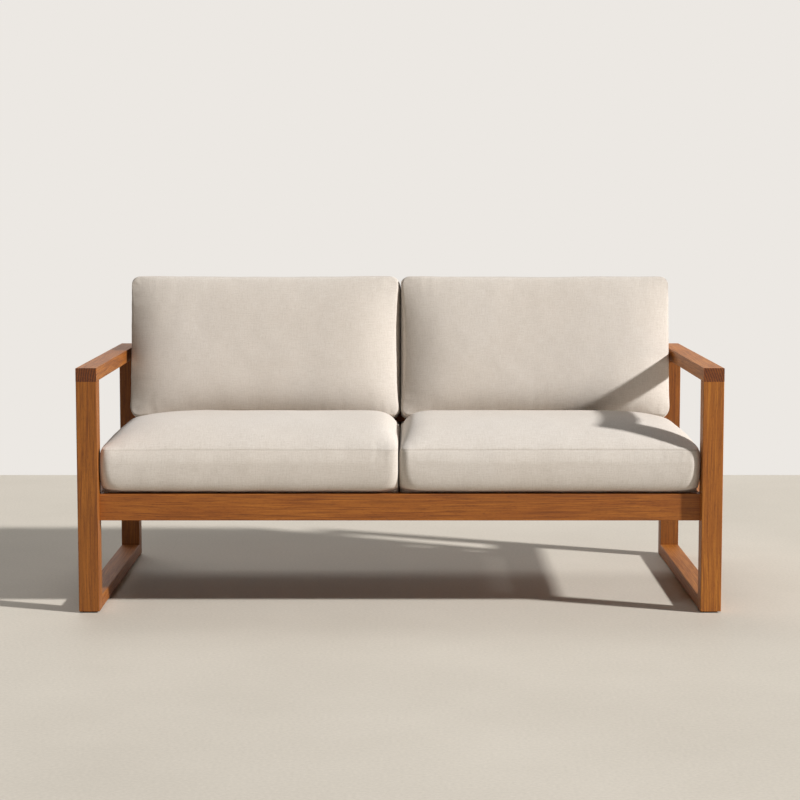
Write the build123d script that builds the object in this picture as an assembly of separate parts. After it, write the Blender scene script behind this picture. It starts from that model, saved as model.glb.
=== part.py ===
from build123d import *
from math import cos, radians, sin
import os

# Patio loveseat: two square hardwood side frames joined by a slatted seat and a leaning
# slatted back, with two seat cushions and two back cushions that lift off.
# Sizes are in millimetres. +X is to the right of someone facing the seat, the seat faces -Y,
# and the origin is on the floor under the middle of the frame.

# Whole frame
overall_width = 1500
overall_depth = 800
arm_height = 574
edge_ease = 1.5
overrun = 5

# Side frames
leg_width = 48
leg_depth = 48
arm_thickness = 32
foot_rail_height = 30
side_rail_thickness = 34
glide_size = 34
glide_height = 3.5
glide_corner = 3

# Seat frame
seat_rail_top = 277
rail_height = 62
rail_thickness = 28
front_rail_setback = 20
rear_rail_setback = 162
ledger_size = 22
seat_slats_per_side = 6
seat_slat_width = 60
seat_slat_thickness = 14
slat_end_gap = 1

# Back frame, leaning about the top of the rear rail
back_lean = 9
back_frame_gap = 1.2
stile_width = 50
stile_thickness = 30
stile_foot = 55
back_above_arm = 118
back_slat_count = 5
back_slat_width = 52
back_slat_thickness = 15
lowest_slat_rise = 18
top_slat_margin = 6

# Dowels, bolts with barrel nuts, and screws
fit_gap = 0.05
bore_end_gap = 1
dowel_radius = 4
dowel_length = 30
dowel_spacing = 36
side_dowel_shift = 6
bolt_radius = 3
bolt_gap = 0.3
bolt_head_radius = 5
bolt_head_height = 6
bolt_socket_radius = 2.5
bolt_socket_depth = 3
bolt_counterbore = 9
nut_radius = 5
nut_length = 18
rail_nut_inset = 30
screw_radius = 2
screw_head_radius = 4
screw_head_depth = 2.4
slat_screw_length = 32
ledger_screw_length = 38
glide_screw_length = 25
back_screw_spacing = 28
ledger_screw_every = 2

# Cushions
cushion_middle_gap = 4
cushion_side_gap = 0.5
rest_gap = 0.3
cover_thickness = 2
cushion_corner = 32
corner_growth_share = 0.08
boxing_bulge = 5

seat_cushion_setback = 25
seat_cushion_rear_overhang = 2
seat_seam_height = 104
seat_crown = 62
seat_roll = 30
seat_roll_inset = 21
seat_side_pull = 6
seat_front_pull = 3
seat_side_run_share = 0.343
seat_front_run_share = 0.325
seat_rear_run_share = 0.488

back_cushion_side_gap = 6
back_cushion_above_frame = 54.5
back_seam_height = 140
back_crown = 42
back_roll = 22
back_roll_inset = 22
back_side_pull = 10
back_top_pull = 4
back_side_run_share = 0.303
back_top_run_share = 0.397
back_cushion_sink = 2.5

# Zips: in the rear boxing of the seat cushions, and high on the backs of the back cushions,
# where they clear the top slat
zip_length = 500
zip_width = 24
zip_from_roll = 1
zip_teeth_width = 5
zip_teeth_height = 1
slider_length = 12
slider_width = 9
slider_thickness = 2.2
pull_length = 22
pull_width = 5
pull_thickness = 0.9

# How a cushion's section is drawn: steps round its rolled edge and up its crown, and the crown's
# rise against its run, with how far the standing back cushion pushes the seat's rear slope in
roll_steps = 4
crown_steps = 12
crown_step_power = 2.5
crown_power = 1.6
crown_root = 0.42
pressed_share = 0.38
# Arc that rounds a corner meets its diagonal this far short of the square corner
corner_nook_share = 1 - sin(radians(45))

# Places worked out from the sizes above
front_plane = -overall_depth / 2
inner_half_width = overall_width / 2 - leg_width
arm_bottom = arm_height - arm_thickness
seat_rail_bottom = seat_rail_top - rail_height
rail_middle = seat_rail_top - rail_height / 2
front_rail_front = front_plane + front_rail_setback
front_rail_back = front_rail_front + rail_thickness
rear_rail_back = -front_plane - rear_rail_setback
rear_rail_front = rear_rail_back - rail_thickness
ledger_top = seat_rail_top - seat_slat_thickness
back_frame = Location((0, rear_rail_back + back_frame_gap, seat_rail_top), (-back_lean, 0, 0))
stile_middle = back_slat_thickness + stile_thickness / 2
stile_top = (arm_height + back_above_arm - seat_rail_top) / cos(radians(back_lean))

pieces = {}
dowels = []
bolts = []
nuts = []
screws = []


def block(low, high, along):
    """A straight wooden piece between two corners, with its long edges eased."""
    size = [b - a for a, b in zip(low, high)]
    middle = [(a + b) / 2 for a, b in zip(low, high)]
    piece = Pos(*middle) * Box(*size)
    return fillet(piece.edges().filter_by(along), edge_ease)


def side_block(side, inner, outer, near, far, bottom, top, along):
    """The same, on one side of the frame: side is -1 for left and 1 for right."""
    left, right = sorted((side * inner, side * outer))
    return block((left, near, bottom), (right, far, top), along)


def bore(names, tool):
    """Cuts one hole through every named piece that it passes."""
    for name in names:
        pieces[name] = pieces[name] - tool


def rod(place, radius, start, end):
    """A round bar along the place's own Z."""
    return place * Pos(0, 0, (start + end) / 2) * Cylinder(radius, end - start)


def add_dowel(first, second, point, direction):
    """A wooden dowel, half in each piece, centred on the joint between them."""
    place = Plane(point, z_dir=direction).location
    half = dowel_length / 2
    dowels.append(rod(place, dowel_radius, -half, half))
    reach = half + bore_end_gap
    bore((first, second), rod(place, dowel_radius + fit_gap, -reach, reach))


def screw_form(place, length, growth):
    """A countersunk screw, or the hole for it, pointing along the place's own Z."""
    head = Cone(screw_head_radius + growth, screw_radius + growth, screw_head_depth)
    shank = rod(Location(), screw_radius + growth, screw_head_depth, length)
    return place * (Pos(0, 0, screw_head_depth / 2) * head + shank)


def add_screw(outer, inner, point, direction, length):
    """A screw from the face of the outer piece into the inner one."""
    place = Plane(point, z_dir=direction).location
    screws.append(screw_form(place, length, 0))
    bore((outer, inner), screw_form(place, length + bore_end_gap, fit_gap))


def add_cross_bolt(outer, inner, side, outer_face, nut_from_middle, y, z, nut_direction, thickness):
    """A bolt from a side frame's outer face into a barrel nut let into the inner piece."""
    place = Plane((side * outer_face, y, z), z_dir=(-side, 0, 0)).location
    reach = outer_face - nut_from_middle
    tip = reach + nut_radius
    head_start = bolt_counterbore - bolt_head_height
    head = rod(place, bolt_head_radius, head_start, bolt_counterbore)
    socket = place * Pos(0, 0, head_start) * extrude(
        RegularPolygon(bolt_socket_radius, 6), bolt_socket_depth
    )
    bolts.append(head - socket + rod(place, bolt_radius, bolt_counterbore, tip))
    hole = rod(place, bolt_head_radius + bolt_gap, -overrun, bolt_counterbore)
    hole += rod(place, bolt_radius + bolt_gap, 0, tip + bore_end_gap)
    bore((outer, inner), hole)
    nut_place = Plane((side * nut_from_middle, y, z), z_dir=nut_direction).location
    nut = rod(nut_place, nut_radius, -nut_length / 2, nut_length / 2)
    nuts.append(nut - rod(place, bolt_radius + fit_gap, 0, tip + overrun))
    pocket = rod(nut_place, nut_radius + fit_gap, -nut_length / 2, thickness / 2 + overrun)
    bore((inner,), pocket)


def add_side_frames():
    """Two square hoops: legs, an armrest on top, a foot rail, and a rail at seat height."""
    outer = overall_width / 2
    inner = inner_half_width
    rail_outer = inner + side_rail_thickness
    near, far = front_plane + leg_depth, -front_plane - leg_depth
    foot_top = glide_height + foot_rail_height
    for side, word in ((-1, "left"), (1, "right")):
        pieces["front_leg_" + word] = side_block(
            side, inner, outer, front_plane, near, glide_height, arm_bottom, Axis.Z
        )
        pieces["rear_leg_" + word] = side_block(
            side, inner, outer, far, -front_plane, glide_height, arm_bottom, Axis.Z
        )
        pieces["armrest_" + word] = side_block(
            side, inner, outer, front_plane, -front_plane, arm_bottom, arm_height, Axis.Y
        )
        pieces["foot_rail_" + word] = side_block(
            side, inner, outer, near, far, glide_height, foot_top, Axis.Y
        )
        pieces["side_rail_" + word] = side_block(
            side, inner, rail_outer, near, far, seat_rail_bottom, seat_rail_top, Axis.Y
        )
        add_side_frame_dowels(side, word, near, far)


def add_side_frame_dowels(side, word, near, far):
    """Two dowels at every corner of a side frame."""
    leg_x = inner_half_width + leg_width / 2
    rail_x = side * (inner_half_width + side_rail_thickness / 2 + side_dowel_shift)
    foot_z = glide_height + foot_rail_height / 2
    for end, joint, y in (("front_leg_", near, -1), ("rear_leg_", far, 1)):
        leg = end + word
        for shift in (-leg_width / 4, leg_width / 4):
            x = side * (leg_x + shift)
            add_dowel(leg, "armrest_" + word, (x, joint + y * leg_depth / 2, arm_bottom), (0, 0, 1))
            add_dowel(leg, "foot_rail_" + word, (x, joint, foot_z), (0, y, 0))
        for shift in (-dowel_spacing / 2, dowel_spacing / 2):
            z = rail_middle + shift
            add_dowel(leg, "side_rail_" + word, (rail_x, joint, z), (0, y, 0))


def add_glides():
    """A plastic pad under each leg, held by one screw."""
    leg_x = inner_half_width + leg_width / 2
    leg_y = overall_depth / 2 - leg_depth / 2
    for end, y in (("front", -leg_y), ("rear", leg_y)):
        for word, x in (("left", -leg_x), ("right", leg_x)):
            name = "glide_" + end + "_" + word
            pad = Pos(x, y, glide_height / 2) * Box(glide_size, glide_size, glide_height)
            pieces[name] = fillet(pad.edges().filter_by(Axis.Z), glide_corner)
            leg = end + "_leg_" + word
            # The head sits a hair up inside the pad, so that only the pad touches the floor
            add_screw(name, leg, (x, y, rest_gap), (0, 0, 1), glide_screw_length)
            cover = rod(Location((x, y, 0)), screw_head_radius + fit_gap, -overrun, rest_gap)
            bore((name,), cover)


def add_seat_rails():
    """Front and rear rails between the side frames, and a stretcher between the rails."""
    half = inner_half_width
    bottom, top = seat_rail_bottom, seat_rail_top
    pieces["front_rail"] = block(
        (-half, front_rail_front, bottom), (half, front_rail_back, top), Axis.X
    )
    pieces["rear_rail"] = block(
        (-half, rear_rail_front, bottom), (half, rear_rail_back, top), Axis.X
    )
    pieces["centre_stretcher"] = block(
        (-rail_thickness / 2, front_rail_back, bottom),
        (rail_thickness / 2, rear_rail_front, top),
        Axis.Y,
    )
    leg_face = overall_width / 2
    side_rail_face = inner_half_width + side_rail_thickness
    nut_x = inner_half_width - rail_nut_inset
    joints = (
        ("front_rail", "front_leg_", leg_face, front_rail_front + rail_thickness / 2),
        ("rear_rail", "side_rail_", side_rail_face, rear_rail_front + rail_thickness / 2),
    )
    for rail, holder, face, y in joints:
        for side, word in ((-1, "left"), (1, "right")):
            add_cross_bolt(
                holder + word, rail, side, face, nut_x, y, rail_middle, (0, 1, 0), rail_thickness
            )
            for shift in (-dowel_spacing / 2, dowel_spacing / 2):
                point = (side * inner_half_width, y, rail_middle + shift)
                add_dowel(holder + word, rail, point, (side, 0, 0))
    for rail, y in (("front_rail", front_rail_back), ("rear_rail", rear_rail_front)):
        for shift in (-dowel_spacing / 2, dowel_spacing / 2):
            add_dowel(rail, "centre_stretcher", (0, y, rail_middle + shift), (0, 1, 0))


def add_seat_slats():
    """Slats from front to back, level with the rails, screwed down on four ledgers."""
    start = rail_thickness / 2
    room = inner_half_width - start
    gap = (room - seat_slats_per_side * seat_slat_width) / (seat_slats_per_side + 1)
    pitch = seat_slat_width + gap
    ledger_bottom = ledger_top - ledger_size
    rows = (
        ("front_ledgers", front_rail_back, front_rail_back + ledger_size, "front_rail", -1),
        ("rear_ledgers", rear_rail_front - ledger_size, rear_rail_front, "rear_rail", 1),
    )
    for name, near, far, rail, outward in rows:
        halves = [
            side_block(
                side, start + slat_end_gap, inner_half_width - slat_end_gap,
                near, far, ledger_bottom, ledger_top, Axis.X,
            )
            for side in (-1, 1)
        ]
        pieces[name] = halves[0] + halves[1]
        face = near if outward > 0 else far
        for side in (-1, 1):
            for step in range(0, seat_slats_per_side + 1, ledger_screw_every):
                x = side * (start + gap / 2 + step * pitch)
                point = (x, face, ledger_top - ledger_size / 2)
                add_screw(name, rail, point, (0, outward, 0), ledger_screw_length)
    number = 0
    for side in (-1, 1):
        for step in range(seat_slats_per_side):
            number += 1
            name = f"seat_slat_{number}"
            place = seat_slats_per_side - 1 - step if side < 0 else step
            x = side * (start + gap + seat_slat_width / 2 + place * pitch)
            pieces[name] = block(
                (x - seat_slat_width / 2, front_rail_back + slat_end_gap, ledger_top),
                (x + seat_slat_width / 2, rear_rail_front - slat_end_gap, seat_rail_top),
                Axis.Y,
            )
            for ledger, near, far, rail, outward in rows:
                point = (x, (near + far) / 2, seat_rail_top)
                add_screw(name, ledger, point, (0, 0, -1), slat_screw_length)


def on_back_frame(x, y, z):
    """A point given in the leaning frame's own directions."""
    return (back_frame * Location((x, y, z))).position


def add_back_frame():
    """Two stiles bolted inside the side frames, a batten, and slats screwed on their fronts."""
    half = inner_half_width
    front, back = back_slat_thickness, back_slat_thickness + stile_thickness
    first = lowest_slat_rise
    last = stile_top - top_slat_margin - back_slat_width
    pitch = (last - first) / (back_slat_count - 1)
    uprights = {
        "back_stile_left": (-half, -half + stile_width, -stile_foot),
        "back_batten": (-stile_width / 2, stile_width / 2, first),
        "back_stile_right": (half - stile_width, half, -stile_foot),
    }
    for name, (left, right, foot) in uprights.items():
        pieces[name] = back_frame * block((left, front, foot), (right, back, stile_top), Axis.Z)
    inward = on_back_frame(0, 1, 0) - on_back_frame(0, 0, 0)
    for number in range(back_slat_count):
        name = f"back_slat_{number + 1}"
        low = first + number * pitch
        slat = block(
            (-half + slat_end_gap, 0, low),
            (half - slat_end_gap, back_slat_thickness, low + back_slat_width),
            Axis.X,
        )
        pieces[name] = back_frame * slat
        for upright, (left, right, foot) in uprights.items():
            for shift in (-back_screw_spacing / 2, back_screw_spacing / 2):
                height = low + back_slat_width / 2
                point = on_back_frame((left + right) / 2 + shift, 0, height)
                add_screw(name, upright, point, inward, slat_screw_length)
    add_stile_bolts(inward)


def add_stile_bolts(inward):
    """Each stile is bolted to the side rail at its foot and to the armrest higher up."""
    lean = radians(back_lean)
    arm_rise = arm_bottom + arm_thickness / 2 - seat_rail_top
    levels = (
        ("side_rail_", inner_half_width + side_rail_thickness, -rail_height / 2),
        ("armrest_", overall_width / 2, arm_rise),
    )
    nut_x = inner_half_width - stile_width / 2
    for side, word in ((-1, "left"), (1, "right")):
        for holder, face, rise in levels:
            climb = (rise + stile_middle * sin(lean)) / cos(lean)
            point = on_back_frame(0, stile_middle, climb)
            add_cross_bolt(
                holder + word, "back_stile_" + word, side, face, nut_x,
                point.Y, point.Z, inward, stile_thickness,
            )


def drawn_side(start, end, pull):
    """One side of a cushion's outline, drawn in towards the middle between its corners."""
    start, end = Vector(*start), Vector(*end)
    if pull == 0:
        return Line(start, end)
    along = (end - start).normalized()
    return ThreePointArc(start, (start + end) / 2 + along.rotate(Axis.Z, 90) * pull, end)


def cushion_outline(left, right, front, rear, height, corner, pulls):
    """One level of a cushion: a rectangle with rounded corners and drawn-in sides."""
    side_pull, front_pull, rear_pull = pulls
    nook = corner * corner_nook_share
    turns = []
    for x, y, across, along in (
        (left, front, 1, 1), (right, front, -1, 1), (right, rear, -1, -1), (left, rear, 1, -1)
    ):
        ends = [(x, y + along * corner, height), (x + across * corner, y, height)]
        if across * along < 0:
            ends.reverse()
        turns.append((ends[0], (x + across * nook, y + along * nook, height), ends[1]))
    edges = []
    for number, pull in enumerate((front_pull, side_pull, rear_pull, side_pull)):
        following = turns[(number + 1) % len(turns)]
        edges.append(ThreePointArc(*turns[number]))
        edges.append(drawn_side(turns[number][2], following[0], pull))
    return Wire([edge.edge() for edge in edges])


def cushion_levels(shape):
    """Heights up a cushion, each with its inset from the sides, the front and the rear."""
    seam, crown = shape["seam"], shape["crown"]
    roll, roll_inset = shape["roll"], shape["roll_inset"]
    side_run, front_run, rear_run = shape["runs"]
    levels = []
    for step in range(roll_steps + 1):
        turn = radians(90 * step / roll_steps)
        levels.append((roll * (1 - cos(turn)), (roll_inset * (1 - sin(turn)),) * 3))
    levels.append(((roll + seam) / 2, (0, 0, 0)))
    levels.append((seam, (boxing_bulge,) * 3))
    for step in range(1, crown_steps + 1):
        run = (step / crown_steps) ** crown_step_power
        rise = (1 - (1 - run) ** crown_power) ** crown_root
        rear = run + shape["pressed"] * 4 * rise * (1 - rise)
        insets = (side_run * run, front_run * run, rear_run * rear)
        levels.append((seam + crown * rise, [boxing_bulge + inset for inset in insets]))
    return levels


def cushion_form(shape, shrink):
    """A crowned cushion lying on z = 0, with its front at y = 0 and its middle at x = 0."""
    total = shape["seam"] + shape["crown"]
    wires = []
    for height, (side, front, rear) in cushion_levels(shape):
        wires.append(
            cushion_outline(
                -shape["width"] / 2 + side + shrink,
                shape["width"] / 2 - side - shrink,
                front + shrink,
                shape["depth"] - rear - shrink,
                shrink + height * (total - shrink - shrink) / total,
                cushion_corner + corner_growth_share * side,
                shape["pulls"],
            )
        )
    return Solid.make_loft(wires, ruled=True)


def cushion_parts(shape, at_zip):
    """Cover, foam, zip and slider; at_zip lies on the cover's face, with its Z pointing outwards."""
    outer = cushion_form(shape, 0)
    wall = Part() + outer - cushion_form(shape, cover_thickness)
    foam = Part() + cushion_form(shape, cover_thickness + rest_gap)
    slot = at_zip * Box(zip_length, zip_width, zip_width)
    teeth_root = cover_thickness / 2
    teeth = at_zip * Pos(0, 0, (zip_teeth_height - teeth_root) / 2) * Box(
        zip_length, zip_teeth_width, zip_teeth_height + teeth_root
    )
    zip_start = -zip_length / 2
    off = zip_teeth_height + rest_gap + slider_thickness / 2
    slider = at_zip * Pos(zip_start + slider_length / 2, 0, off) * Box(
        slider_length, slider_width, slider_thickness
    )
    pull = at_zip * Pos(zip_start + slider_length + pull_length / 2, 0, off) * Box(
        pull_length, pull_width, pull_thickness
    )
    return {
        "cover": wall - slot,
        "foam": foam,
        "zip": (wall & slot) + teeth,
        "zip_slider": slider + pull,
    }


def add_cushions():
    """Two seat cushions on the slats and two back cushions standing on them."""
    inner = cushion_middle_gap / 2
    seat_outer = inner_half_width - cushion_side_gap
    seat_width = seat_outer - inner
    seat_front = front_plane + seat_cushion_setback
    seat_depth = rear_rail_back + seat_cushion_rear_overhang - seat_front
    back_outer = inner_half_width - back_cushion_side_gap
    back_width = back_outer - inner
    foot = (seat_seam_height - back_cushion_sink) / cos(radians(back_lean))
    back_height = stile_top + back_cushion_above_frame - foot
    back_end_run = back_top_run_share * back_height
    seat_shape = {
        "width": seat_width,
        "depth": seat_depth,
        "seam": seat_seam_height,
        "crown": seat_crown,
        "roll": seat_roll,
        "roll_inset": seat_roll_inset,
        "pulls": (seat_side_pull, seat_front_pull, 0),
        "runs": (
            seat_side_run_share * seat_width,
            seat_front_run_share * seat_depth,
            seat_rear_run_share * seat_depth,
        ),
        "pressed": pressed_share,
    }
    back_shape = {
        "width": back_width,
        "depth": back_height,
        "seam": back_seam_height,
        "crown": back_crown,
        "roll": back_roll,
        "roll_inset": back_roll_inset,
        "pulls": (back_side_pull, 0, back_top_pull),
        "runs": (back_side_run_share * back_width, back_end_run, back_end_run),
        "pressed": 0,
    }
    seat_bottom = seat_rail_top + rest_gap
    boxing_middle = (seat_roll + seat_seam_height) / 2
    seat_zip = Location((0, seat_depth, boxing_middle), (-90, 0, 0))
    zip_height = back_height - back_roll_inset - zip_from_roll - zip_width / 2
    back_zip = Location((0, zip_height, 0), (180, 0, 0))
    parts = {
        "seat": cushion_parts(seat_shape, seat_zip),
        "back": cushion_parts(back_shape, back_zip),
    }
    for side, word in ((-1, "left"), (1, "right")):
        seat_x = side * (inner + seat_outer) / 2
        back_x = side * (inner + back_outer) / 2
        places = {
            "seat": Location((seat_x, seat_front, seat_bottom)),
            "back": back_frame * Pos(back_x, -rest_gap, foot) * Rot(X=90),
        }
        for kind, place in places.items():
            for part, solid in parts[kind].items():
                pieces[f"{kind}_{part}_{word}"] = place * solid


def main():
    add_side_frames()
    add_glides()
    add_seat_rails()
    add_seat_slats()
    add_back_frame()
    add_cushions()
    pieces["dowels"] = Compound(children=dowels)
    pieces["frame_bolts"] = Compound(children=bolts)
    pieces["barrel_nuts"] = Compound(children=nuts)
    pieces["wood_screws"] = Compound(children=screws)
    os.makedirs("parts", exist_ok=True)
    for name, piece in pieces.items():
        export_step(piece, f"parts/{name}.step")
    print(len(pieces), "pieces")


main()
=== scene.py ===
import math

import bmesh
import bpy
from mathutils import Matrix, Vector, kdtree, noise


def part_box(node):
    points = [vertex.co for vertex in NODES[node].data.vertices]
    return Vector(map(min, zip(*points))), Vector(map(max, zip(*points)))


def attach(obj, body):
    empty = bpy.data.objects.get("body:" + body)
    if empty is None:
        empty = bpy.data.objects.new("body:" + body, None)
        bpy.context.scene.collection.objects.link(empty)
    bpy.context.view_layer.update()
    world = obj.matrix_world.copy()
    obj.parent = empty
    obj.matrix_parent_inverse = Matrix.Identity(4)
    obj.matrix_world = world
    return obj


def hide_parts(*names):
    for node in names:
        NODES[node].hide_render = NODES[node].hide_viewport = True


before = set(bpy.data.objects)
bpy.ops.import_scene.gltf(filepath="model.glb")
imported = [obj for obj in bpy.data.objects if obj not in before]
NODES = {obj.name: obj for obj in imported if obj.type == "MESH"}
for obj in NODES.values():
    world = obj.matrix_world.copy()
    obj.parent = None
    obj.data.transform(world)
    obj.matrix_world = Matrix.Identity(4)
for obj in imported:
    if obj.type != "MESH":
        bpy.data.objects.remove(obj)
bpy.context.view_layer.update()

# Patio loveseat: hardwood hoop frames, a slatted seat and back, and four loose boxed cushions.
# All sizes are metres in the frame's own axes; one millimetre is MM.
MM = 0.001
SIDES = ("left", "right")

# The photograph's camera, fitted to the corners of the side frames
FRONT_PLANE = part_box("front_leg_left")[0].y
CAMERA_DISTANCE = 4.7749
CAMERA_HEIGHT = 0.9753
CAMERA_TILT = math.radians(5.684)
CAMERA_REACH = 200
FOCAL_LENGTH = 93.36
SENSOR_WIDTH = 36

# Where the pale floor stops behind the object, which the camera sees as the foot of a wall
FLOOR_END = FRONT_PLANE + 2.387
FLOOR_SIZE = 50

# Studio: each lamp's place, size and power, and the level and colour of the room's even light
LAMP_AIM = Vector((0, 0, 0.35))
LAMPS = {
    "key": ((30.0, -12.6, 18.35), (2.0, 2.0), 20600),
    "front": ((-0.8, -3.8, 6.4), (3.0, 2.0), 44),
    "top": ((-1.2, 3.4, 5.5), (4.0, 3.0), 102),
}
ROOM_LIGHT = 0.035
ROOM_COLOUR = "#FFFFFF"
WALL_COLOUR = "#ECE8E3"


# Material helpers

# Sockets of a Mix node that blends colours: the amount, the two colours and the result
AMOUNT, FIRST, SECOND, BLENDED = 0, 6, 7, 2
BLEND = {"data_type": "RGBA"}
TINT = {"data_type": "RGBA", "blend_type": "MULTIPLY"}

# At a scale of 1 a wave texture repeats every WAVE_PERIOD metres
WAVE_PERIOD = math.tau / 20


def linear(code):
    """A linear colour from an sRGB hex code."""
    parts = [int(code[i:i + 2], 16) / 255 for i in (1, 3, 5)]
    return [c / 12.92 if c <= 0.04045 else ((c + 0.055) / 1.055) ** 2.4 for c in parts] + [1]


def feed(tree, node, inputs):
    """Gives a node's inputs their values, or links them to the outputs that they read."""
    for socket, value in inputs.items():
        if isinstance(value, bpy.types.NodeSocket):
            tree.links.new(value, node.inputs[socket])
        else:
            node.inputs[socket].default_value = value


def add(tree, kind, inputs=None, stops=(), **settings):
    """Adds one shader node with its settings and inputs. A colour ramp also gets its stops, each
    a place and a hex code."""
    node = tree.nodes.new("ShaderNode" + kind)
    for name, value in settings.items():
        setattr(node, name, value)
    feed(tree, node, inputs or {})
    if stops:
        elements = node.color_ramp.elements
        while len(elements) < len(stops):
            elements.new(0.5)
        for element, (place, code) in zip(elements, stops):
            element.position = place
            element.color = linear(code)
    return node


def start_material(name):
    """A new material with its shader, ready for its nodes."""
    material = bpy.data.materials.new(name)
    material.use_nodes = True
    tree = material.node_tree
    return material, tree, tree.nodes["Principled BSDF"]


def weighted_sum(tree, parts):
    """Patterns added up, each times its share."""
    total = None
    for pattern, share in parts:
        part = add(tree, "Math", {0: pattern, 1: share}, operation="MULTIPLY").outputs[0]
        if total is not None:
            part = add(tree, "Math", {0: total, 1: part}, operation="ADD").outputs[0]
        total = part
    return total


def stretched_noise(tree, vector, width, length, detail, roughness=0.5):
    """Noise drawn out along Z, with spots of about that width and length."""
    scale = (1 / width, 1 / width, 1 / length)
    drawn = add(tree, "Mapping", {"Vector": vector, "Scale": scale}).outputs[0]
    inputs = {"Vector": drawn, "Scale": 1, "Detail": detail, "Roughness": roughness}
    return add(tree, "TexNoise", inputs).outputs["Fac"]


# Wood: the sizes of what shows in its grain, and how far the grain wanders over a drift's length
LINE_WIDTH = 3.2 * MM
LINE_LENGTH = 150 * MM
FIBRE_WIDTH = 1.6 * MM
FIBRE_LENGTH = 60 * MM
PORE_WIDTH = 0.55 * MM
PORE_LENGTH = 9 * MM
PATCH_WIDTH = 24 * MM
PATCH_LENGTH = 288 * MM
RING_WIDTH = 5.5 * MM
DRIFT_LENGTH = 454.5 * MM
DRIFT_REACH = 20 * MM
GRAIN_RELIEF = 0.25 * MM
PORE_SINK = 0.8
LINE_SHARE = 0.5
FIBRE_SHARE = 0.5

# Each stock of boards has its tones, dark to light, and its own place in the pattern
GRAIN_STOPS = (0.36, 0.5, 0.64)
WOOD_TONES = {
    "a": ("#8A4F13", "#A2601B", "#B67326"),
    "b": ("#76400F", "#8D5316", "#A2611F"),
    "c": ("#7F4611", "#985719", "#AC6823"),
}
WOOD_PLACE = {"a": (0.31, 0.17, 0.0), "b": (-0.23, 0.41, 0.13), "c": (0.11, -0.37, 0.26)}
PORE_TINT = "#805E42"
PATCH_TINT = "#DDCDB9"
RING_TINTS = ((0.2, "#8C7852"), (0.8, "#D0B98A"))

# The axis that the grain runs along, and the turn that brings it to Z
GRAIN_AXIS = {"X": (1, 0, 0), "Y": (0, 1, 0), "Z": (0, 0, 1)}
GRAIN_TURN = {"X": (0, -math.pi / 2, 0), "Y": (math.pi / 2, 0, 0), "Z": (0, 0, 0)}


def oiled_hardwood(grain, stock):
    """Oiled reddish-brown hardwood, planed and sanded: fine straight grain with darker pores,
    a satin oil finish that catches light along the edges, and darker end grain. The real pores
    are about 0.2 mm wide; they are drawn wider, so that they show."""
    material, tree, shader = start_material(f"oiled_hardwood_{grain}_{stock}".lower())
    where = add(tree, "TexCoord").outputs
    along = add(
        tree, "Mapping",
        {"Vector": where["Object"], "Rotation": GRAIN_TURN[grain], "Location": WOOD_PLACE[stock]},
    ).outputs[0]
    drift = add(
        tree, "TexNoise",
        {"Vector": along, "Scale": 1 / DRIFT_LENGTH, "Detail": 1, "Roughness": 0.4},
    ).outputs["Color"]
    wander = add(tree, "VectorMath", {0: drift, "Scale": DRIFT_REACH}, operation="SCALE").outputs[0]
    bent = add(tree, "VectorMath", {0: along, 1: wander}, operation="ADD").outputs[0]
    lines = stretched_noise(tree, bent, LINE_WIDTH, LINE_LENGTH, 1)
    fibres = stretched_noise(tree, bent, FIBRE_WIDTH, FIBRE_LENGTH, 2, 0.6)
    pores = stretched_noise(tree, bent, PORE_WIDTH, PORE_LENGTH, 0)
    patches = stretched_noise(tree, bent, PATCH_WIDTH, PATCH_LENGTH, 2)
    figure = weighted_sum(tree, ((lines, LINE_SHARE), (fibres, FIBRE_SHARE)))
    stops = list(zip(GRAIN_STOPS, WOOD_TONES[stock]))
    face = add(tree, "ValToRGB", {"Fac": figure}, stops).outputs["Color"]
    dashes = add(
        tree, "MapRange", {"Value": pores, "From Min": 0.62, "From Max": 0.72, "To Max": 0.4}
    ).outputs[0]
    cloud = add(
        tree, "MapRange", {"Value": patches, "From Min": 0.4, "From Max": 0.6, "To Max": 0.5}
    ).outputs[0]
    for amount, tint in ((dashes, PORE_TINT), (cloud, PATCH_TINT)):
        face = add(
            tree, "Mix", {AMOUNT: amount, FIRST: face, SECOND: linear(tint)}, **TINT
        ).outputs[BLENDED]
    # The cut ends drink more oil, so they are darker, and rings show in them
    facing = add(
        tree, "VectorMath", {0: where["Normal"], 1: GRAIN_AXIS[grain]}, operation="DOT_PRODUCT"
    ).outputs["Value"]
    square = add(tree, "Math", {0: facing}, operation="ABSOLUTE").outputs[0]
    cut_end = add(
        tree, "MapRange", {"Value": square, "From Min": 0.8, "From Max": 0.95}
    ).outputs[0]
    rings = add(
        tree, "TexWave",
        {
            "Vector": bent, "Scale": WAVE_PERIOD / RING_WIDTH, "Distortion": 3.0,
            "Detail": 2, "Detail Scale": 0.6,
        },
        wave_type="RINGS", rings_direction="Z",
    ).outputs["Fac"]
    ringed = add(tree, "ValToRGB", {"Fac": rings}, RING_TINTS).outputs["Color"]
    end = add(tree, "Mix", {AMOUNT: 1.0, FIRST: face, SECOND: ringed}, **TINT).outputs[BLENDED]
    colour = add(
        tree, "Mix", {AMOUNT: cut_end, FIRST: face, SECOND: end}, **BLEND
    ).outputs[BLENDED]
    rough = add(tree, "MapRange", {"Value": figure, "To Min": 0.62, "To Max": 0.48}).outputs[0]
    sunk = add(tree, "Math", {0: dashes, 1: PORE_SINK}, operation="MULTIPLY").outputs[0]
    height = add(tree, "Math", {0: figure, 1: sunk}, operation="SUBTRACT").outputs[0]
    bump = add(
        tree, "Bump", {"Height": height, "Strength": 0.3, "Distance": GRAIN_RELIEF}
    ).outputs[0]
    feed(tree, shader, {
        "Base Color": colour, "Roughness": rough, "Normal": bump,
        "IOR": 1.5, "Specular IOR Level": 0.45,
    })
    return material


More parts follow.
